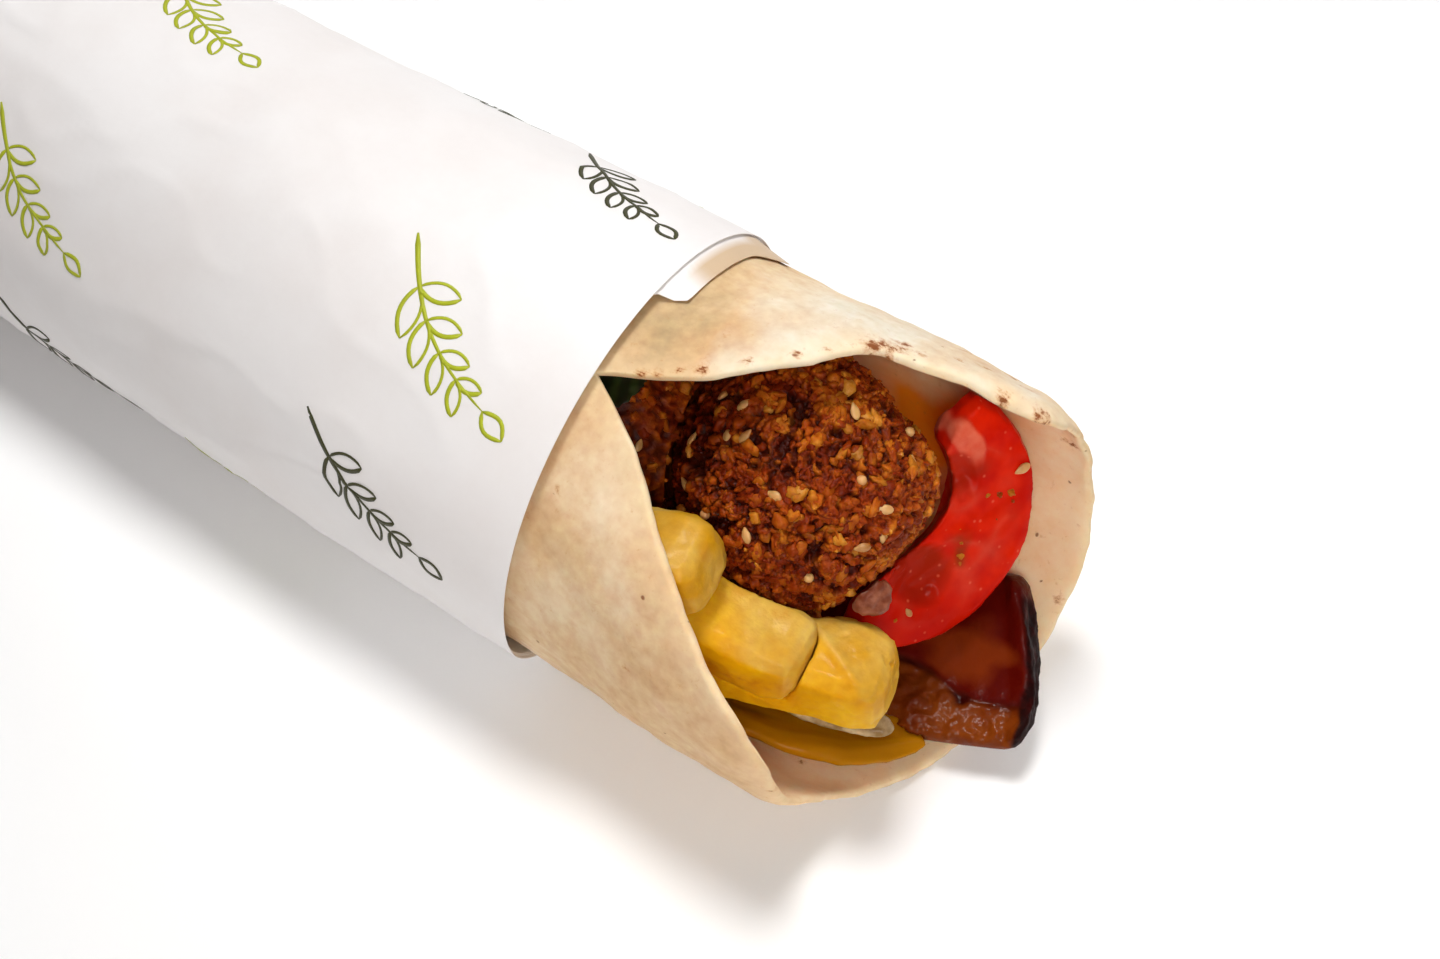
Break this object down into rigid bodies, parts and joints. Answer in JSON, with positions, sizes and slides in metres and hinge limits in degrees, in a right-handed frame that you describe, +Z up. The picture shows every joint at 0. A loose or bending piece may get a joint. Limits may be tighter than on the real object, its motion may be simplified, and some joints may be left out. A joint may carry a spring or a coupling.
{
  "type": "falafel wrap",
  "caption": "Rolled flatbread lying in a paper sleeve, its open mouth showing falafel, tomato, thick fries, pickle, fried aubergine and onion.",
  "frame": {"origin": "middle of the flat strip that the wrap rests on, under the roll's centreline", "axes": "+X along the roll towards its open mouth, +Z up"},
  "size_m": [0.2079, 0.0711, 0.0695],
  "materials": {
    "paper": "smooth greaseproof paper",
    "bread": null,
    "falafel": null,
    "tomato": null,
    "potato": null,
    "pickle": null,
    "aubergine": null,
    "onion": null,
    "herb": null
  },
  "bodies": {
    "root": {"paper_sleeve": "paper", "flatbread": "bread", "falafel_front": "falafel", "falafel_back": "falafel", "tomato_slice": "tomato", "fry_top": "potato", "fry_middle": "potato", "fry_low": "potato", "pickle_slice": "pickle", "aubergine_slice": "aubergine", "onion_strip": "onion", "onion_chunk": "onion", "herb_leaf": "herb"}
  },
  "joints": []
}
